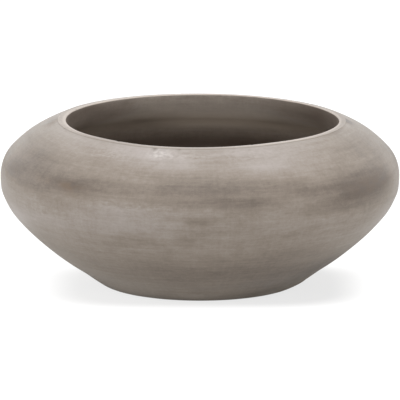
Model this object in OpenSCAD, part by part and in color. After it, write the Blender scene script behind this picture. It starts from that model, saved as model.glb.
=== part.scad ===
// Low round planter: a bowl cast in cement, with a rubber plug in its drain
// hole and four rubber pads under its foot.
// Millimetres. +Z is up, and the origin is on the floor at the bowl's centre.

/* [Bowl outline] */
// Widest diameter of the bowl, at its belly
bowl_d = 700; // [660:5:800]
// Height of the casting, from its foot to the land round the mouth
bowl_h = 288; // [270:1:310]
// Height of the widest point above the foot
belly_z = 189; // [176:1:200]
// Diameter of the flat foot
foot_d = 346; // [300:2:370]
// Diameter of the mouth
mouth_d = 478; // [440:2:500]
// Width of the flat land round the mouth
land_w = 15; // [11:1:20]
// Radius of the long flank that rises from the foot
flank_r = 600; // [500:10:700]
// Radius of the belly below its widest point
lower_belly_r = 100; // [80:2:115]
// Radius of the belly above its widest point
upper_belly_r = 65; // [50:1:78]
// Radius of the shoulder that turns in to the mouth
shoulder_r = 215; // [190:5:260]
// Radius of the worn edge between the land and the mouth
mouth_edge_r = 2; // [1:0.5:4]
// Radius of the rounded lower edge of the lip, inside the mouth
lip_round_r = 34; // [10:1:36]

/* [Bowl casting] */
// Thickness of the cast wall, measured square to it
wall = 28; // [16:1:34]
// Thickness of the floor
floor_t = 28; // [18:1:36]

/* [Drain] */
// Diameter of the drain hole
drain_d = 26; // [18:1:40]
// Width of the bevel round the drain hole, inside and underneath
drain_bevel = 2; // [1:0.5:4]

/* [Drain plug] */
// Clearance between the plug's ribs and the hole, all round
plug_clearance = 0.3; // [0.2:0.05:0.8]
// Height that the plug's tip stays above the underside of the foot
plug_tip_gap = 3; // [1:0.5:6]
// Number of sealing ribs round the plug
plug_ribs = 3; // [1:1:4]
// Height of one sealing rib
rib_h = 2.4; // [1.6:0.2:3]
// Depth of the waist between two ribs
waist_depth = 1.6; // [0.8:0.2:2.4]
// Width of the plug's brim outside the hole
brim_w = 7; // [5:0.5:12]
// Thickness of the brim
brim_t = 3.5; // [2:0.5:6]
// Length of the grip bar across the brim
grip_l = 24; // [16:1:34]
// Thickness of the grip bar
grip_w = 7; // [5:0.5:10]
// Height of the grip bar above the brim
grip_h = 8; // [5:0.5:14]

/* [Foot pads] */
// Diameter of one rubber pad
pad_d = 24; // [16:1:34]
// Thickness of one rubber pad
pad_t = 3.5; // [2.5:0.5:6]
// Depth of the seat that is cast in the foot for each pad
pad_seat_depth = 2.5; // [1:0.25:3]
// Clearance round a pad in its seat
pad_clearance = 0.4; // [0.2:0.1:1]
// Diameter of the circle that the pads' centres lie on
pad_circle_d = 272; // [230:2:290]
// Bevel round the lower edge of a pad
pad_bevel = 0.5; // [0.2:0.1:1]

/* [Hidden] */
$fn = 240;

pad_count = 4;
first_pad_angle = 45;
// How far a cutting shape runs past what it cuts
past = 1;
// How far the outline's cells run past the widest point
cell_margin = 50;

bowl_r = bowl_d / 2;
foot_r = foot_d / 2;
mouth_r = mouth_d / 2;
drain_r = drain_d / 2;
pad_lift = pad_t - pad_seat_depth;
plug_r = drain_r - plug_clearance;
brim_r = drain_r + drain_bevel + brim_w;
stem_l = floor_t - plug_tip_gap;
rib_pitch = stem_l / plug_ribs;

concrete = "#948A80";
black_rubber = "#2B2A29";

// Where two circles cross, on the side given by side = 1 or -1.
function crossing(c1, r1, c2, r2, side) =
    let (
        gap = c2 - c1,
        d = norm(gap),
        along = (d * d + r1 * r1 - r2 * r2) / (2 * d),
        across = sqrt(r1 * r1 - along * along)
    )
    c1 + along * gap / d + side * across * [-gap.y, gap.x] / d;

// The unit direction from one point to another.
function heading(from, to) = (to - from) / norm(to - from);

// The four arcs of the outline touch one another. The two belly arcs are
// centred level with the widest point. The flank starts at the edge of the
// foot, and the shoulder ends at the outer edge of the land.
lower_belly_c = [bowl_r - lower_belly_r, belly_z];
upper_belly_c = [bowl_r - upper_belly_r, belly_z];
flank_c = crossing(
    [foot_r, 0], flank_r, lower_belly_c, flank_r - lower_belly_r, 1
);
shoulder_c = crossing(
    [mouth_r + land_w, bowl_h], shoulder_r,
    upper_belly_c, shoulder_r - upper_belly_r, -1
);

// Rays through the points where the flank and the shoulder meet the belly.
flank_ray = lower_belly_c
    + (lower_belly_r + cell_margin) * heading(flank_c, lower_belly_c);
shoulder_ray = upper_belly_c
    + (upper_belly_r + cell_margin) * heading(shoulder_c, upper_belly_c);
outside = bowl_r + cell_margin;

// The lip's lower edge is rounded between the mouth and the underside of the
// shoulder, which is an arc one wall inside the shoulder's.
shoulder_inner_r = shoulder_r - wall;
lip_round_c = [
    mouth_r + lip_round_r,
    shoulder_c.y + sqrt(
        pow(shoulder_inner_r + lip_round_r, 2)
        - pow(mouth_r + lip_round_r - shoulder_c.x, 2)
    )
];
lip_round_end = shoulder_c
    + (shoulder_inner_r - past) * heading(shoulder_c, lip_round_c);

// Radius of the middle of the flank's wall at a height above the foot.
function mid_wall_r(z) =
    flank_c.x + sqrt(pow(flank_r - wall / 2, 2) - pow(z - flank_c.y, 2));

// Moves a shape to a point in coarse, fine and finest steps, which keeps the
// digits that arcs need to touch one another truly.
module at(p) {
    coarse = [for (v = p) round(v)];
    fine = [for (v = p - coarse) round(1000 * v) / 1000];
    translate(coarse)
        translate(fine)
            translate(p - coarse - fine)
                children();
}

// The part of a ring, one wall thick, that lies in a cell of the outline.
module wall_arc(centre, r, cell) {
    intersection() {
        at(centre)
            difference() {
                circle(r = r);
                circle(r = r - wall);
            }
        polygon(cell);
    }
}

// Half of the bowl's section: the floor and the four arcs of the wall.
module bowl_section() {
    polygon([
        [0, 0],
        [mid_wall_r(0), 0],
        [mid_wall_r(floor_t), floor_t],
        [0, floor_t]
    ]);
    wall_arc(flank_c, flank_r, [
        [0, 0], [outside, 0], flank_ray, lower_belly_c, [0, belly_z]
    ]);
    wall_arc(lower_belly_c, lower_belly_r, [
        lower_belly_c, flank_ray, [outside, flank_ray.y], [outside, belly_z]
    ]);
    wall_arc(upper_belly_c, upper_belly_r, [
        upper_belly_c, [outside, belly_z], [outside, shoulder_ray.y], shoulder_ray
    ]);
    wall_arc(shoulder_c, shoulder_r, [
        upper_belly_c, shoulder_ray, [shoulder_ray.x, bowl_h],
        [mouth_r, bowl_h], [mouth_r, belly_z]
    ]);
}

// What is worn off the sharp edge between the land and the mouth.
module mouth_edge_wear() {
    difference() {
        translate([mouth_r - past, bowl_h - mouth_edge_r])
            square([mouth_edge_r + past, mouth_edge_r + past]);
        translate([mouth_r + mouth_edge_r, bowl_h - mouth_edge_r])
            circle(r = mouth_edge_r);
    }
}

// What is rounded off the lower edge of the lip, inside the mouth.
module lip_rounding() {
    difference() {
        polygon([
            [mouth_r - past, lip_round_c.y], lip_round_c, lip_round_end,
            [mouth_r - past, lip_round_end.y - lip_round_r]
        ]);
        at(lip_round_c)
            circle(r = lip_round_r);
    }
}

// A hole through the floor with a bevel at both ends.
module drain_hole() {
    translate([0, 0, -past])
        cylinder(r = drain_r, h = floor_t + 2 * past);
    translate([0, 0, -past])
        cylinder(r1 = drain_r + drain_bevel + past, r2 = drain_r, h = drain_bevel + past);
    translate([0, 0, floor_t - drain_bevel])
        cylinder(r1 = drain_r, r2 = drain_r + drain_bevel + past, h = drain_bevel + past);
}

// Sets its children round the pads' circle, at the place of one pad.
module at_pad(n) {
    rotate([0, 0, first_pad_angle + (n - 1) * 360 / pad_count])
        translate([pad_circle_d / 2, 0, 0])
            children();
}

// The casting: one piece of concrete, with its pad seats and drain hole.
module bowl() {
    color(concrete)
        translate([0, 0, pad_lift])
            difference() {
                rotate_extrude()
                    difference() {
                        bowl_section();
                        mouth_edge_wear();
                        lip_rounding();
                    }
                drain_hole();
                for (n = [1 : pad_count])
                    at_pad(n)
                        translate([0, 0, -past])
                            cylinder(d = pad_d + 2 * pad_clearance, h = pad_seat_depth + past);
            }
}

// One rib of the plug: a short cylinder that tapers to the waist below it.
module plug_rib() {
    cylinder(r1 = plug_r - waist_depth, r2 = plug_r, h = rib_h / 2);
    translate([0, 0, rib_h / 2])
        cylinder(r = plug_r, h = rib_h / 2);
}

// The rubber plug: a ribbed stem in the drain hole, a brim that rests on the
// floor round it, and a grip bar to pull it out by.
module drain_plug() {
    color(black_rubber)
        translate([0, 0, pad_lift + floor_t]) {
            translate([0, 0, -stem_l])
                cylinder(r = plug_r - waist_depth, h = stem_l + brim_t);
            for (i = [0 : plug_ribs - 1])
                translate([0, 0, i * rib_pitch - stem_l + (rib_pitch - rib_h) / 2])
                    plug_rib();
            rotate_extrude()
                brim_section();
            grip_bar();
        }
}

// Half of the brim's section, with its upper edge turned off.
module brim_section() {
    bevel = brim_t / 2;
    polygon([
        [0, 0], [brim_r, 0], [brim_r, brim_t - bevel],
        [brim_r - bevel, brim_t], [0, brim_t]
    ]);
}

// A bar with round ends across the top of the brim.
module grip_bar() {
    translate([0, 0, brim_t / 2])
        linear_extrude(height = brim_t / 2 + grip_h)
            union() {
                square([grip_l - grip_w, grip_w], center = true);
                for (side = [-1, 1])
                    translate([side * (grip_l - grip_w) / 2, 0])
                        circle(d = grip_w);
            }
}

// One rubber pad, glued in its seat and standing proud of the foot.
module foot_pad(n) {
    color(black_rubber)
        at_pad(n) {
            cylinder(d1 = pad_d - 2 * pad_bevel, d2 = pad_d, h = pad_bevel);
            translate([0, 0, pad_bevel])
                cylinder(d = pad_d, h = pad_t - pad_bevel);
        }
}

bowl();
drain_plug();
foot_pad(1);  // foot_pad_1
foot_pad(2);  // foot_pad_2
foot_pad(3);  // foot_pad_3
foot_pad(4);  // foot_pad_4
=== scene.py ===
"""A low round planter cast in concrete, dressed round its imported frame.

Lengths in the sections on the bowl, the plug and the pads are millimetres, and a
mesh is turned to metres when it is made. Azimuth is measured from the front of the
bowl, which faces -Y, and grows towards +X.
"""

import math

import bpy
import numpy as np
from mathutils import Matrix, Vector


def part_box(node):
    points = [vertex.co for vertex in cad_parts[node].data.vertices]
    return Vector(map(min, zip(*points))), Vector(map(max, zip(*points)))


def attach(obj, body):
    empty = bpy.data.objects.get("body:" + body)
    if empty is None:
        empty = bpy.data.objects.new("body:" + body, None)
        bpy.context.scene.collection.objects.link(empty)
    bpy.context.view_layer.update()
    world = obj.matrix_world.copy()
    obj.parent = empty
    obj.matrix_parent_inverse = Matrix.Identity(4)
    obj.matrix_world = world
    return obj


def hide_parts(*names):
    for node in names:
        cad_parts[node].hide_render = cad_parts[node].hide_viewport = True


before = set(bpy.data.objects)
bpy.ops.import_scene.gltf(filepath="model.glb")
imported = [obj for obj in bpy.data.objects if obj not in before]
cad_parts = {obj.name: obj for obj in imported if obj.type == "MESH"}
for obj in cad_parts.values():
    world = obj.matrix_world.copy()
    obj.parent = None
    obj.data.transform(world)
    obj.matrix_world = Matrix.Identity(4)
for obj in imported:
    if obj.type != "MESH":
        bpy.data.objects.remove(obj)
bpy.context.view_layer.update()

MM = 0.001


# ---------------------------------------------------------------- places from the frame


def node_box(node):
    """A node's lowest and highest corners at rest, in millimetres."""
    low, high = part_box(node)
    return np.array(low) / MM, np.array(high) / MM


FOOT_Z = node_box("bowl")[0][2]
RIM_Z = node_box("bowl")[1][2]
PADS = sorted(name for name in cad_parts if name.startswith("foot_pad"))


# ---------------------------------------------------------------- sizes of the bowl

BELLY_R = 350.0
BELLY_Z = FOOT_Z + 189.0
FOOT_R = 173.0
MOUTH_R = 239.0
LAND_W = 15.0
FLANK_R = 600.0
LOWER_BELLY_R = 100.0
UPPER_BELLY_R = 65.0
SHOULDER_R = 215.0
WALL = 28.0
FLOOR_Z = FOOT_Z + 28.0
DRAIN_R = 13.0
DRAIN_BEVEL = 2.0

FOOT_EDGE_R = 1.2
MOUTH_EDGE_R = 2.0
# The lip's underside is rounder than in the solids, as the inside's shading shows.
LIP_ROUND_R = 54.0
FLOOR_FILLET_R = 40.0

# The casting's grid: points round the bowl, and millimetres from row to row.
COLUMNS = 448
OUTER_STEP = 4.5
INNER_STEP = 8.0
FLAT_STEP = 13.0
EDGE_STEP = 0.6
LAND_STEP = 2.0
CREASE_STEP = 0.8


# ---------------------------------------------------------------- mesh helpers


def make_mesh(name, points, faces):
    """A smooth-faced mesh object in metres, from points in millimetres."""
    mesh = bpy.data.meshes.new(name)
    mesh.from_pydata((np.asarray(points).reshape(-1, 3) * MM).tolist(), [], faces)
    mesh.update()
    mesh.polygons.foreach_set("use_smooth", np.ones(len(mesh.polygons), bool))
    piece = bpy.data.objects.new(name, mesh)
    bpy.context.scene.collection.objects.link(piece)
    return piece


def ring_quads(rows, columns, closed=False):
    """The quads of a grid whose columns go round in a ring, and whose rows do too if closed."""
    row = np.arange(rows if closed else rows - 1)[:, None]
    column = np.arange(columns)[None, :]
    above = (row + 1) % rows
    beside = (column + 1) % columns
    corners = (
        row * columns + column,
        row * columns + beside,
        above * columns + beside,
        above * columns + column,
    )
    return np.stack(corners, -1).reshape(-1, 4).tolist()


def capped_rings(name, rings):
    """A closed piece from rings of points, listed from its underside to its top.

    Its first and last rings are closed with fans round their middles.
    """
    rows, columns = rings.shape[:2]
    poles = rings[[0, -1]].mean(1)
    first_pole, last_pole = rows * columns, rows * columns + 1
    here = np.arange(columns)
    beside = (here + 1) % columns
    last = (rows - 1) * columns
    lower_fan = np.stack((beside, here, np.full(columns, first_pole)), -1).tolist()
    upper_fan = np.stack((last + here, last + beside, np.full(columns, last_pole)), -1).tolist()
    points = np.concatenate((rings.reshape(-1, 3), poles))
    return make_mesh(name, points, ring_quads(rows, columns) + lower_fan + upper_fan)


def arc(centre, radius, start, end, step):
    """Points along an arc from one angle to another, a step apart, without the last one."""
    count = max(2, math.ceil(abs(end - start) * radius / step))
    angle = start + (end - start) * np.arange(count) / count
    return np.stack((centre[0] + radius * np.cos(angle), centre[1] + radius * np.sin(angle)), -1)


def line(start, end, step):
    """Points along a straight line, a step apart, without the last one."""
    start, end = np.array(start, float), np.array(end, float)
    count = max(1, math.ceil(np.hypot(*(end - start)) / step))
    return start + (end - start) * (np.arange(count) / count)[:, None]


def crossing(c1, r1, c2, r2, side):
    """Where two circles cross, on the side given by side = 1 or -1."""
    gap = np.subtract(c2, c1)
    d = np.hypot(*gap)
    along = (d * d + r1 * r1 - r2 * r2) / (2 * d)
    across = math.sqrt(r1 * r1 - along * along)
    return np.array(c1) + along * gap / d + side * across * np.array((-gap[1], gap[0])) / d


def crossed_tangent(c1, r1, c2, r2):
    """The angle at which a line that passes between two circles touches the second one.

    The first circle lies above the second, and the line touches it at the opposite angle.
    """
    gap = np.subtract(c1, c2)
    return math.asin((r1 + r2) / np.hypot(*gap)) - math.atan2(gap[0], gap[1])


def on_arc(centre, radius, angle):
    """The point of a circle at an angle."""
    return centre[0] + radius * math.cos(angle), centre[1] + radius * math.sin(angle)


def angle_of(centre, point):
    """The angle at which a point lies, seen from a centre."""
    return math.atan2(point[1] - centre[1], point[0] - centre[0])


def smooth(x, low, high):
    """0 below low, 1 above high, and a smooth step between them."""
    t = np.clip((x - low) / (high - low), 0, 1)
    return t * t * (3 - 2 * t)


def set_attribute(piece, name, values):
    """Stores one number, or one vector, for each point of a piece."""
    is_vector = values.shape[-1] == 3
    layer = piece.data.attributes.new(name, "FLOAT_VECTOR" if is_vector else "FLOAT", "POINT")
    layer.data.foreach_set("vector" if is_vector else "value", values.astype(np.float32).ravel())


# ---------------------------------------------------------------- the bowl's section

LOWER_BELLY_C = (BELLY_R - LOWER_BELLY_R, BELLY_Z)
UPPER_BELLY_C = (BELLY_R - UPPER_BELLY_R, BELLY_Z)
FLANK_C = crossing((FOOT_R, FOOT_Z), FLANK_R, LOWER_BELLY_C, FLANK_R - LOWER_BELLY_R, 1)
SHOULDER_C = crossing(
    (MOUTH_R + LAND_W, RIM_Z), SHOULDER_R, UPPER_BELLY_C, SHOULDER_R - UPPER_BELLY_R, -1
)

# Length of the shoulder's last stretch, whose rows lie close enough to show the crease.
CREASE_BAND = 6.0


def at_height(centre, radius, z):
    """The outer point of a circle at a height z."""
    return centre[0] + math.sqrt(radius**2 - (z - centre[1]) ** 2), z


def bowl_section():
    """The closed outline of the casting: radius and height of each row, and its zone.

    It runs out along the underside, up the outside through four touching arcs, in over
    the land, round the lip, straight to the belly, down the inside one wall in, and down
    the drain hole.
    """
    down = -math.pi / 2
    flank_end = angle_of(FLANK_C, LOWER_BELLY_C)
    shoulder_start = angle_of(SHOULDER_C, UPPER_BELLY_C)
    shoulder_end = angle_of(SHOULDER_C, (MOUTH_R + LAND_W, RIM_Z))
    crease_start = shoulder_end - CREASE_BAND / SHOULDER_R

    foot_edge_c = at_height(FLANK_C, FLANK_R - FOOT_EDGE_R, FOOT_Z + FOOT_EDGE_R)
    foot_edge_end = angle_of(FLANK_C, foot_edge_c)
    mouth_edge_c = (MOUTH_R + MOUTH_EDGE_R, RIM_Z - MOUTH_EDGE_R)

    lip_c = (MOUTH_R + LIP_ROUND_R, mouth_edge_c[1])
    inner_belly_r = UPPER_BELLY_R - WALL
    lip_end = crossed_tangent(lip_c, LIP_ROUND_R, UPPER_BELLY_C, inner_belly_r)
    lip_foot = on_arc(lip_c, LIP_ROUND_R, math.pi + lip_end)
    belly_top = on_arc(UPPER_BELLY_C, inner_belly_r, lip_end)
    inner_flank_r = FLANK_R - WALL
    fillet_c = at_height(FLANK_C, inner_flank_r - FLOOR_FILLET_R, FLOOR_Z + FLOOR_FILLET_R)
    fillet_start = angle_of(FLANK_C, fillet_c)
    bevelled_r = DRAIN_R + DRAIN_BEVEL
    drain_top, drain_low = FLOOR_Z - DRAIN_BEVEL, FOOT_Z + DRAIN_BEVEL
    stretches = [
        ("foot", line((bevelled_r, FOOT_Z), (foot_edge_c[0], FOOT_Z), FLAT_STEP)),
        ("outside", arc(foot_edge_c, FOOT_EDGE_R, down, foot_edge_end, EDGE_STEP)),
        ("outside", arc(FLANK_C, FLANK_R, foot_edge_end, flank_end, OUTER_STEP)),
        ("outside", arc(LOWER_BELLY_C, LOWER_BELLY_R, flank_end, 0, OUTER_STEP)),
        ("outside", arc(UPPER_BELLY_C, UPPER_BELLY_R, 0, shoulder_start, OUTER_STEP)),
        ("outside", arc(SHOULDER_C, SHOULDER_R, shoulder_start, crease_start, OUTER_STEP)),
        ("outside", arc(SHOULDER_C, SHOULDER_R, crease_start, shoulder_end, CREASE_STEP)),
        ("land", line((MOUTH_R + LAND_W, RIM_Z), (mouth_edge_c[0], RIM_Z), LAND_STEP)),
        ("land", arc(mouth_edge_c, MOUTH_EDGE_R, -down, math.pi, EDGE_STEP)),
        ("inside", arc(lip_c, LIP_ROUND_R, math.pi, math.pi + lip_end, LAND_STEP)),
        ("inside", line(lip_foot, belly_top, INNER_STEP)),
        ("inside", arc(UPPER_BELLY_C, inner_belly_r, lip_end, 0, INNER_STEP)),
        ("inside", arc(LOWER_BELLY_C, LOWER_BELLY_R - WALL, 0, flank_end, INNER_STEP)),
        ("inside", arc(FLANK_C, inner_flank_r, flank_end, fillet_start, INNER_STEP)),
        ("inside", arc(fillet_c, FLOOR_FILLET_R, fillet_start, down, INNER_STEP)),
        ("inside", line((fillet_c[0], FLOOR_Z), (bevelled_r, FLOOR_Z), FLAT_STEP)),
        ("inside", line((bevelled_r, FLOOR_Z), (DRAIN_R, drain_top), DRAIN_BEVEL)),
        ("inside", line((DRAIN_R, drain_top), (DRAIN_R, drain_low), FLAT_STEP)),
        ("inside", line((DRAIN_R, drain_low), (bevelled_r, FOOT_Z), DRAIN_BEVEL)),
    ]
    section = np.concatenate([points for zone, points in stretches])
    zones = np.concatenate([[zone] * len(points) for zone, points in stretches])
    return section, zones[:, None]


# ---------------------------------------------------------------- hand-cast irregularity

# The mouth was struck a little off the belly's centre. What moves the rim moves the shoulder
# with it, in full down to this far below the rim, and then less and less to the belly.
MOUTH_SHIFT_X = 4.0
STRUCK_BELOW = 20.0

# How far the rim lies below its highest place: azimuth in degrees and millimetres.
RIM_DIPS = [
    (-180, 1.1),
    (-150, 0.8),
    (-125, 0.4),
    (-110, 0.0),
    (-90, 0.0),
    (-50, 1.1),
    (-14, 4.1),
    (5, 3.2),
    (28, 1.0),
    (60, 1.2),
    (95, 2.6),
    (120, 3.2),
    (140, 2.5),
    (160, 1.3),
]

# How far the land falls away from the mouth to its outer edge, in the same terms.
LAND_FALLS = [
    (-180, 1.3),
    (-150, 1.0),
    (-120, 0.8),
    (-90, 0.2),
    (0, 0.0),
    (85, 0.4),
    (120, 1.6),
    (155, 2.1),
]

# How much narrower the land is than its full width, in the same terms.
LAND_NARROWS = [
    (-180, 0.0),
    (-110, 0.0),
    (-90, 1.0),
    (-68, 3.5),
    (-45, 1.5),
    (-20, 0.5),
    (10, 0.0),
    (45, 3.0),
    (85, 3.5),
    (120, 1.0),
]

# Width over which the land's falling and narrowing fade out on the shoulder.
LAND_FADE = 50.0

# How deep the crease beside the land is, in the same terms, and half its width. The deeper
# it is, the darker it is painted, as shade.
CREASE_DEPTHS = [
    (-180, 0.1),
    (-120, 0.1),
    (-92, 0.15),
    (-72, 0.45),
    (-45, 0.6),
    (-15, 0.4),
    (15, 0.4),
    (45, 0.5),
    (66, 0.35),
    (90, 0.1),
    (130, 0.1),
]
CREASE_W = 1.7

# How closely a curve round the bowl follows the values in the lists above.
RIM_SHARPNESS = 14.0

# The shoulder is fuller on the left and leaner on the right. This grows from the belly to
# one height above it, and fades from another up to the rim.
LEFT_FULLNESS = 3.0
RIGHT_FULLNESS = -0.8
FULLNESS_RISE = 50.0
FULLNESS_FALL = 60.0

# Low swells and hollows: azimuth in degrees, height above the floor, half width in degrees,
# half height, and how many millimetres the surface moves straight away from the axis.
SWELLS = [
    (0, 166, 1000, 11, 1.1),
    (0, 100, 1000, 24, 1.5),
    (0, 40, 1000, 14, -0.8),
    (0, 26, 1000, 12, -2.6),
    (-75, 2, 25, 6, 1.0),
    (80, 5, 15, 8, 3.6),
    (75, 24, 30, 8, 1.1),
]

# How deep the mould's slow waves, the trowel's marks, the inside's waves and the mouth's
# are. The slow ones fade out down to the foot over one height, and the trowel's and the
# inside's up to the rim over another.
WOBBLE = 0.2
TROWEL_WAVES = 0.13
INNER_WAVES = 0.6
MOUTH_WAVES = 0.7
FOOT_FADE = 60.0
RIM_FADE = 12.0

# The same waves' seed, how many cosines they are the sum of, and the most waves that they
# have round the bowl and in a metre across it. Over the root of their number, the sum rises
# to about RIPPLE_PEAK.
WOBBLE_RIPPLES = (3, 12, 4, 3)
TROWEL_RIPPLES = (5, 40, 30, 14)
INNER_RIPPLES = (8, 40, 26, 14)
MOUTH_RIPPLES = (11, 9, 9, 0)
RIPPLE_PEAK = 1.5

# Chips along the mouth: azimuth in degrees, place across the land from the mouth's edge,
# radius and depth.
CHIPS = [
    (-170, 15, 5, 1.1),
    (167, 0, 5, 1.2),
    (-158, 1, 4, 0.8),
    (131, 15, 4, 0.7),
    (88, 1, 4, 0.8),
    (52, 15, 5, 0.6),
    (21, 0, 4, 0.7),
    (-14, 15, 4, 0.5),
    (-18.5, 21, 8, 1.4),
    (-9, 20, 6, 0.8),
    (-37, 1, 5, 0.8),
    (-71, 15, 6, 0.7),
    (-112, 0, 4, 0.9),
]

# How dark a chip a millimetre deep is painted, as shade in its hollow.
CHIP_SHADE = 0.4


def turned_away(azimuth, place):
    """Degrees from a place to each azimuth, the short way round."""
    return (np.degrees(azimuth) - place + 180) % 360 - 180


def round_curve(places, azimuth):
    """A smooth curve round the bowl past the values set at some azimuths.

    It is the mean of the values, each weighted by how near its azimuth is.
    """
    place, value = (np.array(column, float) for column in zip(*places))
    nearness = np.cos(azimuth[..., None] - np.radians(place)) - 1
    weight = np.exp(RIM_SHARPNESS * nearness)
    return (weight * value).sum(-1) / weight.sum(-1)


def ripples(kind, azimuth, length):
    """Smooth noise from about -1 to 1: a sum of cosines with whole waves round the bowl, up
    to a given number, and up to a given number of waves in a metre across it."""
    seed, count, around, along = kind
    rng = np.random.default_rng(seed)
    total = np.zeros(np.broadcast(azimuth, length).shape)
    for _ in range(count):
        turns = rng.integers(1, around + 1) * rng.choice((-1, 1))
        waves = rng.uniform(-along, along) * MM
        total += np.cos(turns * azimuth + 2 * math.pi * (waves * length + rng.uniform()))
    return total / math.sqrt(count) / RIPPLE_PEAK


def outward(section):
    """The direction square to the section at each of its points, as two columns."""
    ahead = np.roll(section, -1, 0) - section
    behind = section - np.roll(section, 1, 0)
    run = ahead / np.hypot(*ahead.T)[:, None] + behind / np.hypot(*behind.T)[:, None]
    run /= np.hypot(*run.T)[:, None]
    return run[:, 1:], -run[:, :1]


def worn_away(section, zones, azimuth, length):
    """How much cement is missing at each point, square to the surface, and how much painted
    shade the crease and the chips get there.

    Missing are slow waves left by the mould, trowel marks, the crease beside the land, whose
    section is a V, and the chips, each a round hollow that fades to its edge.
    """
    radius, height = section[:, :1], section[:, 1:]
    outside, inside = zones == "outside", zones == "inside"
    above_foot = smooth(height, FOOT_Z, FOOT_Z + FOOT_FADE)
    below_land = 1 - smooth(height, RIM_Z - RIM_FADE, RIM_Z)
    slow = WOBBLE * above_foot * (1 + ripples(WOBBLE_RIPPLES, azimuth, length)) / 2
    trowel = TROWEL_WAVES * outside * below_land * (1 + ripples(TROWEL_RIPPLES, azimuth, length))
    lining = INNER_WAVES * inside * below_land * ripples(INNER_RIPPLES, azimuth, length)
    from_land = radius - (MOUTH_R + LAND_W)
    near_land = outside * (height > BELLY_Z)
    crease = near_land * np.clip(1 - np.abs(from_land - CREASE_W) / CREASE_W, 0, 1)
    painted_shade = crease * round_curve(CREASE_DEPTHS, azimuth)
    missing = slow + trowel + lining + painted_shade
    for chip_azimuth, across, chip_r, depth in CHIPS:
        turn = np.radians(turned_away(azimuth, chip_azimuth))
        away = np.hypot(turn * radius, np.hypot(radius - MOUTH_R - across, height - RIM_Z))
        chip = depth * np.clip(1 - (away / chip_r) ** 2, 0, 1) ** 2
        missing = missing + chip
        painted_shade = painted_shade + CHIP_SHADE * chip
    return missing, painted_shade


def bowl_points(section, zones, azimuth, length):
    """The bowl's points and their painted shade: its section turned round, then moved as the
    hand-made casting is.

    The radius and height grow by the fullness less what is worn away, square to the section.
    The radius then takes the swells and the mouth's waves, and the land narrows. The mouth
    moves sideways, and the rim and the land's outer edge drop.
    """
    radius, height = section[:, :1], section[:, 1:]
    out_r, out_z = outward(section)
    missing, painted_shade = worn_away(section, zones, azimuth, length)
    comes = smooth(height, BELLY_Z, BELLY_Z + FULLNESS_RISE)
    goes = smooth(height, BELLY_Z + FULLNESS_FALL, RIM_Z)
    to_right = np.sin(azimuth)
    side = np.where(to_right < 0, -LEFT_FULLNESS, RIGHT_FULLNESS) * to_right
    fuller = side * (comes * (1 - goes)) * (zones == "outside")
    swell = painted(SWELLS, azimuth, height) * (zones == "outside")
    struck = smooth(height, BELLY_Z, RIM_Z - STRUCK_BELOW)
    wavy = struck * (zones != "outside")
    mouth = wavy * MOUTH_WAVES * ripples(MOUTH_RIPPLES, azimuth, 0 * length)
    turned_r = radius + (fuller - missing) * out_r + swell + mouth
    turned_z = height + (fuller - missing) * out_z
    from_mouth = radius - MOUTH_R
    beyond = smooth(from_mouth, LAND_W, LAND_W + LAND_FADE)
    outer = np.clip(from_mouth / LAND_W, 0, 1) * (1 - beyond)
    falls = outer * (zones != "inside") * (height > BELLY_Z)
    turned_r = turned_r - falls * round_curve(LAND_NARROWS, azimuth)
    x = turned_r * np.sin(azimuth) + MOUTH_SHIFT_X * struck
    y = -turned_r * np.cos(azimuth)
    z = (
        turned_z
        - struck * round_curve(RIM_DIPS, azimuth)
        - falls * round_curve(LAND_FALLS, azimuth)
    )
    return np.stack((x, y, z), -1), painted_shade
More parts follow.
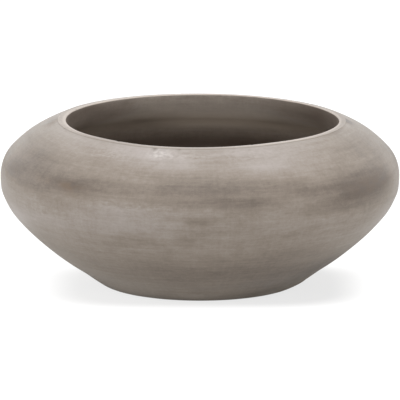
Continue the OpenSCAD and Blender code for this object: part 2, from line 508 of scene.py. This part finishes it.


# ---------------------------------------------------------------- marks on the cement

# Soft clouds in the patina outside, mixed with painted light and shade: belts all round that
# are paler near the rim and darker under the shoulder, on the low flank and at the foot,
# marks at the sides that are paler on the belly and darker on the shoulder and low down, and
# a painted highlight on the shoulder at the front left. Each gives azimuth in degrees, height
# above the floor, half width in degrees, half height in millimetres, and how much lighter (+)
# or darker (-) it is.
PATINA_AND_LIGHT_MARKS = [
    (0, 287, 1000, 12, 0.22),
    (0, 230, 1000, 13, -0.15),
    (0, 266, 40, 14, 0.05),
    (0, 70, 1000, 36, -0.12),
    (-76, 262, 18, 24, -0.2),
    (74, 265, 18, 26, -0.22),
    (-30, 283, 10, 9, 0.2),
    (-24, 276, 13, 11, 0.2),
    (-16, 280, 5, 6, 0.35),
    (-11, 266, 12, 12, 0.38),
    (20, 262, 9, 13, 0.3),
    (32, 275, 8, 5, 0.15),
    (16, 281, 13, 7, 0.2),
    (30, 262, 16, 10, 0.25),
    (-60, 250, 13, 14, -0.28),
    (-22, 238, 12, 10, 0.08),
    (-6, 240, 10, 12, -0.2),
    (6, 233, 9, 12, -0.25),
    (24, 246, 16, 8, 0.1),
    (-40, 222, 12, 14, -0.42),
    (-72, 221, 10, 14, -0.5),
    (-57, 207, 12, 9, -0.2),
    (-25, 214, 8, 6, 0.1),
    (-10, 226, 7, 10, -0.15),
    (5, 211, 12, 10, -0.32),
    (16, 205, 9, 8, -0.25),
    (31, 218, 7, 8, -0.2),
    (41, 236, 8, 10, 0.15),
    (41, 207, 5, 7, 0.12),
    (34, 205, 10, 10, 0.1),
    (54, 208, 17, 22, -0.75),
    (66, 212, 6, 12, -0.1),
    (46, 188, 18, 14, -0.1),
    (-20, 190, 14, 12, 0.3),
    (1, 190, 5, 7, 0.1),
    (20, 176, 6, 8, 0.1),
    (78, 205, 8, 30, 0.2),
    (-79, 192, 6, 20, 0.15),
    (-62, 150, 20, 26, 0.25),
    (-30, 160, 20, 16, 0.18),
    (-13, 168, 14, 15, 0.3),
    (28, 162, 7, 8, 0.13),
    (-4, 148, 4, 15, -0.1),
    (-1, 175, 4, 6, -0.3),
    (-10, 146, 5, 10, 0.15),
    (73, 140, 8, 26, 0.25),
    (-71, 135, 8, 22, 0.35),
    (42, 122, 8, 14, 0.1),
    (10, 85, 32, 30, -0.12),
    (20, 50, 40, 40, -0.12),
    (46, 22, 24, 28, -0.42),
    (58, 48, 12, 22, -0.55),
    (72, 25, 12, 30, -0.8),
    (-72, 18, 12, 22, -0.5),
    (0, 3, 1000, 6, -0.35),
    (34, 64, 14, 14, -0.12),
    (38, 8, 8, 8, -0.35),
    (91, 284, 5, 4, -0.9),
    (-91, 284, 8, 5, -0.5),
    (66, 286, 10, 3, -0.35),
    (-14, 104, 10, 10, 0.1),
    (30, 10, 14, 8, -0.2),
    (-5, 10, 12, 8, 0.25),
    (60, 118, 14, 24, 0.08),
    (-62, 60, 14, 40, 0.2),
    (-22, 25, 20, 12, 0.12),
    (100, 205, 20, 20, -0.3),
    (150, 215, 28, 16, -0.3),
    (178, 150, 30, 30, 0.2),
    (-150, 205, 26, 18, -0.3),
    (-110, 240, 20, 16, 0.2),
]

# The same along the land.
LAND_CLOUDS = [
    (-95, 289, 16, 1000, -0.15),
    (-45, 289, 24, 1000, -0.45),
    (0, 289, 16, 1000, -0.3),
    (90, 289, 20, 1000, -0.22),
    (120, 289, 40, 1000, -0.15),
]

# How much paler the land is along the mouth's edge, partly worn and partly a painted
# highlight on the rounded edge, and across which part of it this fades, in millimetres from
# the mouth.
EDGE_WEAR_AND_HIGHLIGHT = 0.35
EDGE_WEAR_AND_HIGHLIGHT_FADE = (3, 9)

# Rust-brown stains, in the same terms.
STAINS = [
    (-41, 221, 4, 6, 1.0),
    (-38, 208, 4, 5, 0.4),
    (-52, 222, 4, 5, 0.3),
    (60, 208, 14, 16, 0.3),
    (-76, 219, 10, 16, 0.3),
    (-91, 283, 7, 5, 0.6),
    (128, 190, 9, 9, 0.7),
    (-165, 222, 8, 5, 0.6),
]

# Places scuffed pale, in streaks, in the same terms. Those on the shoulder at the front are
# partly a painted highlight, drawn as pale streaks.
SCUFFS_AND_HIGHLIGHT = [
    (-15.5, 278, 3.5, 5, 0.8),
    (-9, 276, 8, 4, 0.25),
    (-33, 273, 8, 5, 0.15),
    (16, 277, 12, 5, 0.12),
    (-20, 198, 14, 6, 0.1),
    (-48, 166, 14, 8, 0.08),
    (-150, 272, 10, 6, 0.4),
    (120, 262, 12, 8, 0.3),
]

# Painted shade round the foot, darkest low on the right, in the same terms.
FOOT_SHADE = [
    (68, 12, 20, 32, 0.8),
    (40, 6, 30, 10, 0.3),
    (-72, 6, 24, 14, 0.3),
    (0, 2, 1000, 16, 0.2),
]

# Painted shade on the inside, darker towards the bottom and on the sides under the lip, and
# painted light, paler under the lip, in the same terms.
INNER_SHADE_MARKS = [
    (0, 176, 1000, 30, 0.9),
    (122, 264, 30, 42, 0.75),
    (-124, 260, 28, 42, 0.62),
    (-106, 285, 26, 12, 0.3),
    (96, 285, 20, 12, 0.25),
    (152, 236, 12, 12, 0.2),
    (-165, 236, 12, 12, 0.2),
    (-153, 234, 10, 20, 0.3),
    (-164, 220, 8, 8, 0.2),
]
INNER_LIGHT_MARKS = [
    (180, 238, 95, 24, 0.74),
    (182, 223, 28, 9, 0.6),
]


def painted(marks, azimuth, height):
    """The sum of soft round marks: each fades from its middle as a bell curve does."""
    total = np.zeros(np.broadcast(azimuth, height).shape)
    for place, middle, half_turn, half_height, amount in marks:
        across = turned_away(azimuth, place) / half_turn
        total += amount * np.exp(-(across**2) - ((height - middle) / half_height) ** 2)
    return total


def make_bowl():
    """The casting, from the drain hole's edge out, up, over the rim and back down inside.

    Each point keeps its place on the surface, laid out round and along the section, for the
    patterns that follow the trowel, and the amount of each mark.
    """
    section, zones = bowl_section()
    azimuth = 2 * math.pi * np.arange(COLUMNS)[None, :] / COLUMNS
    length = np.cumsum(np.hypot(*(section - np.roll(section, 1, 0)).T))[:, None]
    points, painted_shade = bowl_points(section, zones, azimuth, length)
    piece = make_mesh("cast_bowl", points, ring_quads(len(section), COLUMNS, closed=True))
    whole = np.ones((len(section), COLUMNS, 1))
    turn = azimuth[..., None]
    wrapped = (BELLY_R * np.sin(turn), -BELLY_R * np.cos(turn), length[..., None])
    set_attribute(piece, "around", np.concatenate([part * whole for part in wrapped], -1) * MM)
    height = points[..., 2]
    edge = 1 - smooth(section[:, :1] - MOUTH_R, *EDGE_WEAR_AND_HIGHLIGHT_FADE)
    # Marks for the shader. Painted shade lies in the crease, the chips and round the foot, and painted
    # light and shade in the patina's tone, the land's edge, the scuffs and the inside.
    marks = {
        "inside": zones == "inside",
        "land": zones == "land",
        "painted_shade": painted_shade + painted(FOOT_SHADE, azimuth, height) * (zones == "outside"),
        "patina_and_light": np.where(
            zones == "land",
            painted(LAND_CLOUDS, azimuth, height) + EDGE_WEAR_AND_HIGHLIGHT * edge,
            painted(PATINA_AND_LIGHT_MARKS, azimuth, height) * (zones == "outside"),
        ),
        "stain": painted(STAINS, azimuth, height) * (zones == "outside"),
        "scuff_and_highlight": painted(SCUFFS_AND_HIGHLIGHT, azimuth, height) * (zones == "outside"),
        "inner_shade": painted(INNER_SHADE_MARKS, azimuth, height) * (zones == "inside"),
        "inner_light": painted(INNER_LIGHT_MARKS, azimuth, height) * (zones == "inside"),
    }
    for name, mark in marks.items():
        set_attribute(piece, name, mark[..., None] * whole)
    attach(piece, "bowl")
    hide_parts("bowl")
    return piece


# ---------------------------------------------------------------- the drain plug

BRIM_T = 3.5
BRIM_BEVEL = 2.0
PLUG_RIBS = 3
RIB_H = 2.4
RIB_SHOULDER = 0.4
WAIST_DEPTH = 1.6
PLUG_CLEARANCE = 0.3
PLUG_STEP = 0.35
PLUG_COLUMNS = 96

# A closed end's last ring, round the point where its faces meet.
END_RING_R = 1.0

# The dish in the brim round the grip: its depth, and how far the top and the foot of its
# edge lie beyond the grip's ends.
DISH_DEPTH = 0.8
DISH_TOP = 3.5
DISH_FOOT = 2.5

# The grip: its length and width, and how deep its root is sunk in the dish. Its end radius
# flares at the root, swells at the finger ribs and draws in at the crown, each by some
# millimetres. Where they start and end is a share of its height, which would hold four ribs.
GRIP_L = 24.0
GRIP_W = 7.0
GRIP_ROWS = 34
GRIP_SINK = 0.8
GRIP_FLARE = 1.3
FLARE_TOP = 0.3
FINGER_RIB = 0.35
FINGER_RIBS = 4
FINGER_RIB_PLACE = 0.42
RIBS_START = (0.3, 0.4)
RIBS_END = (0.75, 0.85)
CROWN_INSET = 2.2
CROWN_FROM = 0.8


def rounded(corners, step):
    """A polyline with rounded corners. Each corner is a radius, a height, and the length
    that its rounding takes up on both sides of it."""
    path = [np.array([corners[0][:2]], float)]
    for before, corner, after in zip(corners, corners[1:], corners[2:]):
        back, middle, ahead = (np.array(point[:2], float) for point in (before, corner, after))
        enters = middle + corner[2] * (back - middle) / np.hypot(*(back - middle))
        leaves = middle + corner[2] * (ahead - middle) / np.hypot(*(ahead - middle))
        t = np.linspace(0, 1, max(3, math.ceil(2 * corner[2] / step)))[:, None]
        path.append(line(path[-1][-1], enters, step)[1:])
        path.append((1 - t) ** 2 * enters + 2 * t * (1 - t) * middle + t**2 * leaves)
    path.append(line(path[-1][-1], corners[-1][:2], step)[1:])
    path.append(np.array([corners[-1][:2]], float))
    return np.concatenate(path)


def turned(path, centre, columns):
    """Rings of points: a path of radius and height turned round an upright axis."""
    angle = 2 * math.pi * np.arange(columns) / columns
    x = centre[0] + path[:, :1] * np.cos(angle)
    y = centre[1] + path[:, :1] * np.sin(angle)
    return np.stack((x, y, np.broadcast_to(path[:, 1:], x.shape)), -1)


def make_plug_body():
    """The plug's stem with its sealing ribs, and the brim that rests on the floor: a rounded
    section turned about the plug's axis."""
    low, high = node_box("drain_plug")
    brim_r, tip, brim_z = high[0], low[2], FLOOR_Z
    rib_r = DRAIN_R - PLUG_CLEARANCE
    waist_r = rib_r - WAIST_DEPTH
    pitch = (brim_z - tip) / PLUG_RIBS
    corners = [(END_RING_R, tip, 0), (waist_r, tip, 1.2)]
    for rib in range(PLUG_RIBS):
        rib_z = tip + rib * pitch + (pitch - RIB_H) / 2
        corners += [
            (waist_r, rib_z, 0.5),
            (rib_r, rib_z + RIB_H / 2, 0.5),
            (rib_r, rib_z + RIB_H, 0.5),
            (waist_r, rib_z + RIB_H + RIB_SHOULDER, 0.3),
        ]
    corners += [
        (waist_r, brim_z, 0.3),
        (brim_r, brim_z, 0.7),
        (brim_r, brim_z + BRIM_T / 2, 0.8),
        (brim_r - BRIM_BEVEL, brim_z + BRIM_T, 1.0),
        (GRIP_L / 2 + DISH_TOP, brim_z + BRIM_T, 0.5),
        (GRIP_L / 2 + DISH_FOOT, brim_z + BRIM_T - DISH_DEPTH, 0.5),
        (END_RING_R, brim_z + BRIM_T - DISH_DEPTH, 0),
    ]
    return capped_rings("plug_body", turned(rounded(corners, PLUG_STEP), (0, 0), PLUG_COLUMNS))


def make_plug_grip():
    """The bar to pull the plug by: a stadium outline whose end radius changes with height.

    It flares with a square at the root, swells and narrows as a cosine at the finger ribs,
    and follows a quarter of an ellipse at the crown.
    """
    base, top = FLOOR_Z + BRIM_T - DISH_DEPTH - GRIP_SINK, node_box("drain_plug")[1][2]
    up = np.linspace(0, 1, GRIP_ROWS)[:, None]
    flare = GRIP_FLARE * np.clip(1 - up / FLARE_TOP, 0, 1) ** 2
    gripped = smooth(up, *RIBS_START) * (1 - smooth(up, *RIBS_END))
    ribs = FINGER_RIB * gripped * np.cos(2 * FINGER_RIBS * math.pi * (up - FINGER_RIB_PLACE))
    crowned = np.clip((up - CROWN_FROM) / (1 - CROWN_FROM), 0, 1)
    crown = CROWN_INSET * (1 - np.sqrt(1 - crowned**2))
    angle = 2 * math.pi * np.arange(PLUG_COLUMNS) / PLUG_COLUMNS
    end_r = GRIP_W / 2 - FINGER_RIB + flare + ribs - crown
    x = (GRIP_L - GRIP_W) / 2 * np.clip(4 * np.cos(angle), -1, 1) + end_r * np.cos(angle)
    y = end_r * np.sin(angle)
    z = base + (top - base) * np.broadcast_to(up, x.shape)
    return capped_rings("plug_grip", np.stack((x, y, z), -1))


# ---------------------------------------------------------------- the foot pads

# Grip grooves in a pad's underside: how many, their depth, and half their width at the
# pad's face and at their floor.
PAD_GROOVES = 3
GROOVE_DEPTH = 0.5
GROOVE_FACE = 0.9
GROOVE_FLOOR = 0.5
GROOVE_EDGE = 0.2


def make_pad(node):
    """A moulded rubber pad: a section with rounded edges and rings of grip grooves in its
    underside, turned about the pad's axis."""
    low, high = node_box(node)
    centre, pad_r = (low + high) / 2, (high[0] - low[0]) / 2
    corners = [(END_RING_R, low[2], 0)]
    for groove in range(PAD_GROOVES):
        groove_r = pad_r * (groove + 1) / (PAD_GROOVES + 1)
        corners += [
            (groove_r - GROOVE_FACE, low[2], GROOVE_EDGE),
            (groove_r - GROOVE_FLOOR, low[2] + GROOVE_DEPTH, GROOVE_EDGE),
            (groove_r + GROOVE_FLOOR, low[2] + GROOVE_DEPTH, GROOVE_EDGE),
            (groove_r + GROOVE_FACE, low[2], GROOVE_EDGE),
        ]
    corners += [(pad_r, low[2], 0.6), (pad_r, high[2], 0.4), (END_RING_R, high[2], 0)]
    rings = turned(rounded(corners, PLUG_STEP), centre, PLUG_COLUMNS)
    pad = capped_rings(node + "_moulded", rings)
    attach(pad, "bowl")
    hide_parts(node)
    return pad


# ---------------------------------------------------------------- materials


def linear(hex_colour):
    """An sRGB hex colour as the linear RGBA that Blender's sockets take."""
    parts = (int(hex_colour[i : i + 2], 16) / 255 for i in (1, 3, 5))
    return tuple(c / 12.92 if c <= 0.04045 else ((c + 0.055) / 1.055) ** 2.4 for c in parts) + (1.0,)


def add(tree, kind, settings=(), links=()):
    """Adds a shader node. Settings go to its properties or sockets, and links to its sockets
    from another socket or from a node's first output."""
    node = tree.nodes.new("ShaderNode" + kind)
    for key, value in dict(settings).items():
        if isinstance(key, str) and hasattr(node, key):
            setattr(node, key, value)
        else:
            node.inputs[key].default_value = value
    for key, source in dict(links).items():
        socket = source.outputs[0] if hasattr(source, "outputs") else source
        tree.links.new(socket, node.inputs[key])
    return node


def new_material(name):
    """An empty material, its node tree and its output."""
    material = bpy.data.materials.new(name)
    material.use_nodes = True
    material.node_tree.nodes.clear()
    output = add(material.node_tree, "OutputMaterial")
    return material, material.node_tree, output


# A Mix node's sockets for colours: its two inputs and its output.
MIX_A, MIX_B, MIX_OUT = 6, 7, 2
COLOUR_MIX = {"data_type": "RGBA"}
SOFT = {"interpolation_type": "SMOOTHSTEP"}

# Patterns in the cement: what they follow, the size of one feature along each axis in
# millimetres, their detail, and how much they lighten or darken it. The hand's strokes and
# the trowel's streaks run level, and the runs run down. The sand's grain is half a
# millimetre, too fine to show from here, so it is drawn at about 2 mm.
PATTERNS = {
    "clouds": ("Object", (154, 154, 71.4), 5.0, 0.55),
    "mottle": ("Object", (25, 25, 12.5), 6.0, 0.4),
    "strokes": ("around", (143, 143, 6.67), 4.0, 0.34),
    "streaks": ("around", (20, 20, 2.083), 3.0, 0.24),
    "flecks": ("Object", (6.67, 6.67, 4.55), 3.0, 0.27),
    "runs": ("around", (6.67, 6.67, 100), 2.0, 0.12),
    "grain": ("Object", (1.92, 1.92, 1.92), 3.0, 0.25),
}

# How the tone of all the patterns becomes wear: each ramp's ends, from the middle tone.
WORN = (-0.73, 0.15)
RUBBED = (-0.12, 0.66)
EVENLY = (-0.4, 0.4)

# How high the grit and the mottle stand out, in millimetres.
GRIT_H = 0.7


def cast_cement():
    """Fine concrete, packed in a mould by hand, rubbed down, stained and waxed.

    To the eye it is a soft brown-grey with slow clouds and level strokes, paler where it was
    rubbed, and rust-brown in places, with a low sheen from the wax. Light and shade are painted
    into its tone, its scuffs, its crease, its chips, its foot and its inside.
    """
    material, tree, output = new_material("hand-packed concrete, stained and waxed")
    marks = {
        name: add(tree, "Attribute", {"attribute_name": name}).outputs["Fac"]
        for name in ("inside", "land", "painted_shade", "patina_and_light", "stain", "scuff_and_highlight", "inner_shade", "inner_light")
    }
    places = {
        "Object": add(tree, "TexCoord").outputs["Object"],
        "around": add(tree, "Attribute", {"attribute_name": "around"}).outputs["Vector"],
    }
    # The tone starts from the patina's clouds and the painted light and shade, and each pattern adds to
    # it.
    tone, patterns = marks["patina_and_light"], {}
    for name, (followed, sizes, detail, share) in PATTERNS.items():
        scale = [1 / (size * MM) for size in sizes]
        place = add(tree, "Mapping", {"Scale": scale}, {"Vector": places[followed]})
        pattern = add(tree, "TexNoise", {"Scale": 1.0, "Detail": detail}, {"Vector": place})
        patterns[name] = pattern
        tone = add(tree, "Math", {"operation": "MULTIPLY_ADD", 1: share}, {0: pattern, 2: tone})
    middle = sum(share for _, _, _, share in PATTERNS.values()) / 2
    worn, rubbed, evenly = (
        add(tree, "MapRange", {**SOFT, "From Min": middle + low, "From Max": middle + high}, {0: tone})
        for low, high in (WORN, RUBBED, EVENLY)
    )

    # The outside: brown-grey stain, worn paler where it was rubbed, and rust in places. The tone
    # that sets how worn and rubbed it is also carries the painted light and shade.
    stained = add(
        tree, "Mix", {**COLOUR_MIX, MIX_A: linear("#665A50"), MIX_B: linear("#998D81")}, {0: worn}
    )
    paler = add(
        tree,
        "Mix",
        {**COLOUR_MIX, MIX_B: linear("#B8AFAA")},
        {0: rubbed, MIX_A: stained.outputs[MIX_OUT]},
    )
    patchy = add(
        tree, "MapRange", {**SOFT, "From Min": 0.3, "From Max": 0.6}, {0: patterns["mottle"]}
    )
    rust = add(tree, "Math", {"operation": "MULTIPLY"}, {0: marks["stain"], 1: patchy})
    shell = add(
        tree,
        "Mix",
        {**COLOUR_MIX, MIX_B: linear("#776452")},
        {0: rust, MIX_A: paler.outputs[MIX_OUT]},
    )

    # Scuffs: the bare cement, in streaks and flecks, with a painted highlight drawn the same
    # way on the front of the shoulder.
    streaky = add(
        tree, "MapRange", {**SOFT, "From Min": 0.5, "From Max": 0.68}, {0: patterns["streaks"]}
    )
    broken = add(
        tree, "MapRange", {**SOFT, "From Min": 0.42, "From Max": 0.62}, {0: patterns["flecks"]}
    )
    worn_streaks = add(tree, "Math", {"operation": "ADD"}, {0: streaky, 1: broken})
    scuffs_and_highlight = add(tree, "Math", {"operation": "MULTIPLY"}, {0: marks["scuff_and_highlight"], 1: worn_streaks})
    shell = add(
        tree,
        "Mix",
        {**COLOUR_MIX, MIX_B: linear("#D3CCC7")},
        {0: scuffs_and_highlight, MIX_A: shell.outputs[MIX_OUT]},
    )

    # The land: struck off and left bare, so paler than the rest.
    bare = add(
        tree, "Mix", {**COLOUR_MIX, MIX_A: linear("#9C8F84"), MIX_B: linear("#CDC1B6")}, {0: evenly}
    )

    # The inside: bare cement, painted paler under the lip as light, and painted darker towards
    # the bottom and on the sides as shade.
    bare_lining = add(
        tree, "Mix", {**COLOUR_MIX, MIX_A: linear("#857A70"), MIX_B: linear("#B7ADA3")}, {0: evenly}
    )
    lit_lining = add(
        tree,
        "Mix",
        {**COLOUR_MIX, MIX_B: linear("#E2DBD2")},
        {0: marks["inner_light"], MIX_A: bare_lining.outputs[MIX_OUT]},
    )
    shade_amount = add(
        tree,
        "Math",
        {"operation": "MULTIPLY_ADD", 1: 0.8},
        {0: patterns["clouds"], 2: marks["inner_shade"]},
    )
    shaded = add(tree, "MapRange", {**SOFT, "From Min": 0.35, "From Max": 1.35}, {0: shade_amount})
    lining = add(
        tree,
        "Mix",
        {**COLOUR_MIX, MIX_B: linear("#574A40")},
        {0: shaded, MIX_A: lit_lining.outputs[MIX_OUT]},
    )

    # Each zone gets its own colour, and painted shade lies over all of them: in the crease, the
    # chips and round the foot.
    colour = shell
    for mark, over in (("land", bare), ("inside", lining)):
        links = {0: marks[mark], MIX_A: colour.outputs[MIX_OUT], MIX_B: over.outputs[MIX_OUT]}
        colour = add(tree, "Mix", COLOUR_MIX, links)
    shade_links = {0: marks["painted_shade"], MIX_A: colour.outputs[MIX_OUT]}
    colour = add(tree, "Mix", {**COLOUR_MIX, MIX_B: linear("#62543F")}, shade_links)

    # The wax: a satin coat over the outside, rougher inside and gone where the painted shade is.
    waxed = add(
        tree,
        "MapRange",
        {"From Min": 0.3, "From Max": 0.7, "To Min": 0.36, "To Max": 0.5},
        {0: patterns["mottle"]},
    )
    rough = add(tree, "Math", {"operation": "MULTIPLY_ADD", 1: 0.35}, {0: marks["inside"], 2: waxed})
    relief = add(
        tree,
        "Math",
        {"operation": "MULTIPLY_ADD", 1: 0.35},
        {0: patterns["grain"], 2: patterns["mottle"]},
    )
    bumps = add(tree, "Bump", {"Strength": 0.3, "Distance": GRIT_H * MM}, {"Height": relief})
    wax = add(tree, "MapRange", {"To Min": 0.3, "To Max": 0.0}, {0: marks["painted_shade"]})
    cement = add(
        tree,
        "BsdfPrincipled",
        {"IOR": 1.5, "Coat Roughness": 0.22},
        {
            "Base Color": colour.outputs[MIX_OUT],
            "Roughness": rough,
            "Normal": bumps,
            "Coat Weight": wax,
        },
    )
    tree.links.new(cement.outputs[0], output.inputs[0])
    return material


# How wide a patch of the rubber's bloom is, in millimetres.
BLOOM_W = 8.33


def moulded_rubber():
    """EPDM rubber, compression moulded: near black and dull, with a grey bloom."""
    material, tree, output = new_material("compression-moulded rubber")
    place = add(tree, "TexCoord").outputs["Object"]
    bloom = add(tree, "TexNoise", {"Scale": 1 / (BLOOM_W * MM), "Detail": 4.0}, {"Vector": place})
    colour = add(
        tree, "Mix", {**COLOUR_MIX, MIX_A: linear("#242322"), MIX_B: linear("#3A3836")}, {0: bloom}
    )
    rubber = add(
        tree, "BsdfPrincipled", {"IOR": 1.52, "Roughness": 0.6}, {"Base Color": colour.outputs[MIX_OUT]}
    )
    tree.links.new(rubber.outputs[0], output.inputs[0])
    return material


# ---------------------------------------------------------------- floor, light and camera

CAMERA_ELEVATION = math.radians(11.65)
CAMERA_DISTANCE = 11.5
PHOTO_PX = 400
PX_PER_METRE = 569.1
AIM = (0.0, 0.0, 0.1437)
SENSOR = 36.0

# Softboxes: where they stand, how wide they are, both in metres, and their power in watts.
SOFTBOXES = {
    "overhead": ((0.0, -0.7, 2.6), 2.2, 30),
    "left": ((-2.7, 0.4, 0.5), 1.6, 21),
    "right": ((2.65, 0.4, 0.8), 1.6, 15),
    "front": ((0.0, -4.0, 1.0), 2.6, 16),
}
WORLD_LIGHT = 0.53

# The floor, a light table, in metres, and how strongly it glows.
FLOOR_SIZE = 16.0
FLOOR_LIGHT = 0.23

# The shadow that the camera sees on it, in metres: how far its darkest part reaches, how far
# it fades beyond that, and how its shape is scaled and moved. Its darkest part has one tone
# at a distance to the left of the bowl's axis and another as far to the right.
SHADOW_R = 0.166
SHADOW_FADE = 0.078
SHADOW_SQUEEZE = (0.78, 1.2, 1.0)
SHADOW_SHIFT = (-0.007, 0.056, 0.0)
SHADOW_TONES = (0.79, 0.725)
SHADOW_SIDE = 0.3

# The painted shade where the foot meets the floor, a dark line, in the same terms.
CONTACT_R = 0.168
CONTACT_FADE = 0.005
CONTACT_SHIFT = (-0.0005, -0.0015, 0.0)


def make_floor():
    """A white light table: it lights the bowl from below, and the camera sees it almost
    white, with a faint shadow of the bowl and a dark line of shade under its foot, both painted
    in its material.

    The shadow's edge is a rounded square: the fourth root of the sum of the fourth powers of
    the place's parts is its radius.
    """
    half = FLOOR_SIZE / 2 / MM
    corners = [(-half, -half, 0), (half, -half, 0), (half, half, 0), (-half, half, 0)]
    floor = make_mesh("floor", corners, [(0, 1, 2, 3)])
    material, tree, output = new_material("white studio floor")
    paper = add(tree, "BsdfDiffuse", {"Color": (0.505, 0.5, 0.49, 1)})
    lit = add(tree, "Emission", {"Color": (1.0, 0.985, 0.96, 1), "Strength": FLOOR_LIGHT})
    table = add(tree, "AddShader", {}, {0: paper, 1: lit})
    pale = add(tree, "BsdfDiffuse", {"Color": (0.2, 0.2, 0.2, 1)})
    place = add(tree, "TexCoord").outputs["Object"]
    squeezed = add(
        tree, "Mapping", {"Scale": SHADOW_SQUEEZE, "Location": SHADOW_SHIFT}, {"Vector": place}
    )
    squared = add(tree, "VectorMath", {"operation": "MULTIPLY"}, {0: squeezed, 1: squeezed})
    fourth = add(tree, "VectorMath", {"operation": "DOT_PRODUCT"}, {0: squared, 1: squared})
    across = add(tree, "Math", {"operation": "POWER", 1: 0.25}, {0: fourth.outputs["Value"]})
    to_right = add(tree, "SeparateXYZ", {}, {0: place})
    deepest = add(
        tree,
        "MapRange",
        {
            "From Min": -SHADOW_SIDE,
            "From Max": SHADOW_SIDE,
            "To Min": SHADOW_TONES[0],
            "To Max": SHADOW_TONES[1],
        },
        {0: to_right},
    )
    reach = {"From Min": SHADOW_R, "From Max": SHADOW_R + SHADOW_FADE}
    faded = add(tree, "MapRange", {**SOFT, **reach}, {0: across, "To Min": deepest})
    moved = add(tree, "Mapping", {"Location": CONTACT_SHIFT}, {"Vector": place})
    from_foot = add(tree, "VectorMath", {"operation": "LENGTH"}, {0: moved}).outputs["Value"]
    touching = {"From Min": CONTACT_R, "From Max": CONTACT_R + CONTACT_FADE}
    clear = add(tree, "MapRange", {**SOFT, **touching}, {0: from_foot})
    left_lit = add(tree, "Math", {"operation": "MULTIPLY"}, {0: faded, 1: clear})
    glow = add(tree, "Emission", {"Color": (1, 1, 1, 1)}, {"Strength": left_lit})
    seen = add(tree, "AddShader", {}, {0: pale, 1: glow})
    path = add(tree, "LightPath")
    shown = add(tree, "MixShader", {}, {0: path.outputs["Is Camera Ray"], 1: table, 2: seen})
    tree.links.new(shown.outputs[0], output.inputs[0])
    floor.data.materials.append(material)


def make_world():
    """A white surround, seen as white and lighting the bowl a little less than that."""
    world = bpy.data.worlds.new("white studio")
    bpy.context.scene.world = world
    world.use_nodes = True
    tree = world.node_tree
    tree.nodes.clear()
    path = add(tree, "LightPath")
    seen = path.outputs["Is Camera Ray"]
    for ray in ("Is Glossy Ray", "Is Transmission Ray"):
        seen = add(tree, "Math", {"operation": "MAXIMUM"}, {0: seen, 1: path.outputs[ray]})
    strength = add(tree, "MapRange", {"To Min": WORLD_LIGHT, "To Max": 1.0}, {0: seen})
    surround = add(tree, "Background", {"Color": (1, 1, 1, 1)}, {"Strength": strength})
    output = add(tree, "OutputWorld")
    tree.links.new(surround.outputs[0], output.inputs[0])


def make_softbox(name, place, size, power):
    """A round softbox that faces the bowl. The camera doesn't see it, and the wax reflects
    only the white surround, as it does among large diffusers."""
    light = bpy.data.lights.new(name, "AREA")
    light.shape = "DISK"
    light.size = size
    light.energy = power
    lamp = bpy.data.objects.new(name, light)
    bpy.context.scene.collection.objects.link(lamp)
    lamp.location = place
    tilt = math.atan2(math.hypot(place[0], place[1]), place[2])
    turn = math.atan2(place[1], place[0]) + math.pi / 2
    lamp.rotation_euler = (tilt, 0, turn)
    lamp.visible_camera = False
    lamp.visible_glossy = False


def make_camera():
    """The photograph's camera: far back, 11.65 degrees above the horizon."""
    camera = bpy.data.cameras.new("camera")
    camera.sensor_width = SENSOR
    camera.lens = SENSOR * PX_PER_METRE * CAMERA_DISTANCE / PHOTO_PX
    holder = bpy.data.objects.new("camera", camera)
    bpy.context.scene.collection.objects.link(holder)
    holder.location = (
        AIM[0],
        AIM[1] - CAMERA_DISTANCE * math.cos(CAMERA_ELEVATION),
        AIM[2] + CAMERA_DISTANCE * math.sin(CAMERA_ELEVATION),
    )
    holder.rotation_euler = (math.pi / 2 - CAMERA_ELEVATION, 0, 0)
    bpy.context.scene.camera = holder


# ---------------------------------------------------------------- the scene

bpy.context.scene.view_settings.view_transform = "Standard"
make_camera()
make_world()
for lamp_name, (lamp_place, lamp_size, lamp_power) in SOFTBOXES.items():
    make_softbox(lamp_name, lamp_place, lamp_size, lamp_power)
make_floor()

cement = cast_cement()
rubber = moulded_rubber()
make_bowl().data.materials.append(cement)
for plug_part in (make_plug_body(), make_plug_grip()):
    plug_part.data.materials.append(rubber)
    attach(plug_part, "drain_plug")
    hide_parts("drain_plug")
for pad_node in PADS:
    make_pad(pad_node).data.materials.append(rubber)
